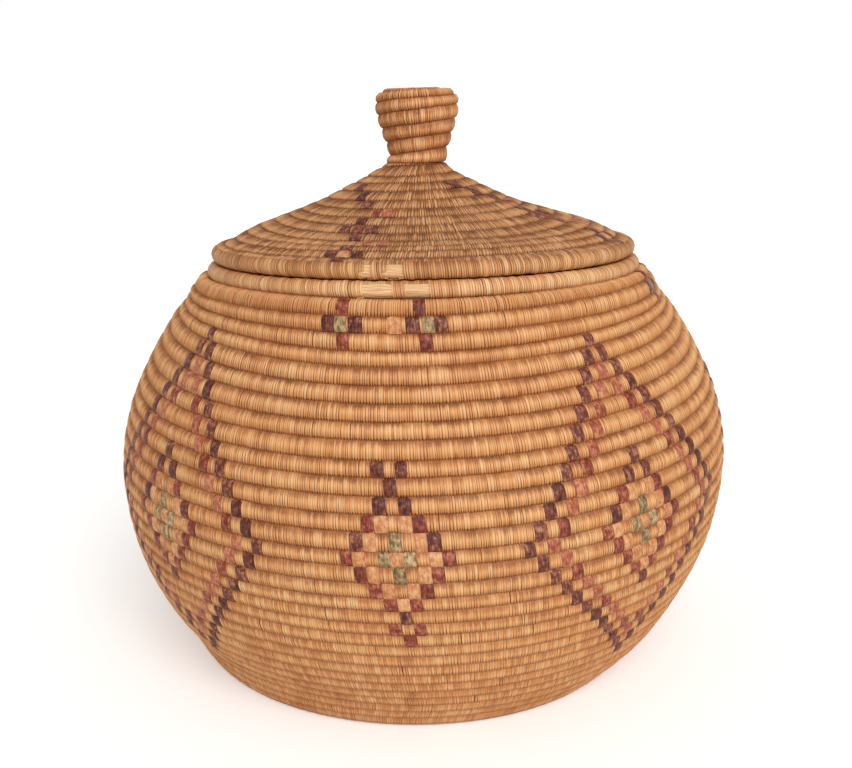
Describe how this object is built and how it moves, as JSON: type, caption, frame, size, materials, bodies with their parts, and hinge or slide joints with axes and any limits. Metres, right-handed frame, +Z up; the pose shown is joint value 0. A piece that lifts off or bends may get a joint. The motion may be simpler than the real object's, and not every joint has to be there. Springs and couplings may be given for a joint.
{
  "type": "lidded basket",
  "caption": "Round coiled grass basket with dyed crosses and lozenges and a pointed lid with a coiled knob, which lifts off the mouth.",
  "frame": {"origin": "on the floor, under the middle of the belly", "axes": "+Z up, -Y the front of the basket, where the rims are worn, +X to the right of someone facing it"},
  "size_m": [0.26, 0.26, 0.2392],
  "materials": {
    "wall_straw": "dry grass bundle wrapped with split palm or grass stitches, honey brown, darkened by handling",
    "base_straw": "dry grass coil, dull brown",
    "rim_bundle_grass": "bare dry grass, pale straw",
    "rim_wrap_straw": "stitched wrap, worn brown",
    "lid_straw": "dry grass coil, greyed brown",
    "lid_rim_bundle_grass": "bare dry grass, pale straw",
    "lid_rim_wrap_straw": "stitched wrap, worn brown",
    "flange_straw": "dry grass coil, honey brown",
    "knob_straw": "dry grass coil, polished by handling"
  },
  "bodies": {
    "basket": {"wall_coil": "wall_straw", "base_coil": "base_straw", "rim_bundle": "rim_bundle_grass", "rim_wrap": "rim_wrap_straw"},
    "lid": {"lid_cone_coil": "lid_straw", "lid_rim_bundle": "lid_rim_bundle_grass", "lid_rim_wrap": "lid_rim_wrap_straw", "lid_flange": "flange_straw", "knob_coil": "knob_straw"}
  },
  "joints": [
    {"name": "lid_lift", "type": "slide", "parent": "basket", "child": "lid", "axis": [-0.02, 0.1063, 0.9941], "range_m": [0, 0.05]}
  ]
}
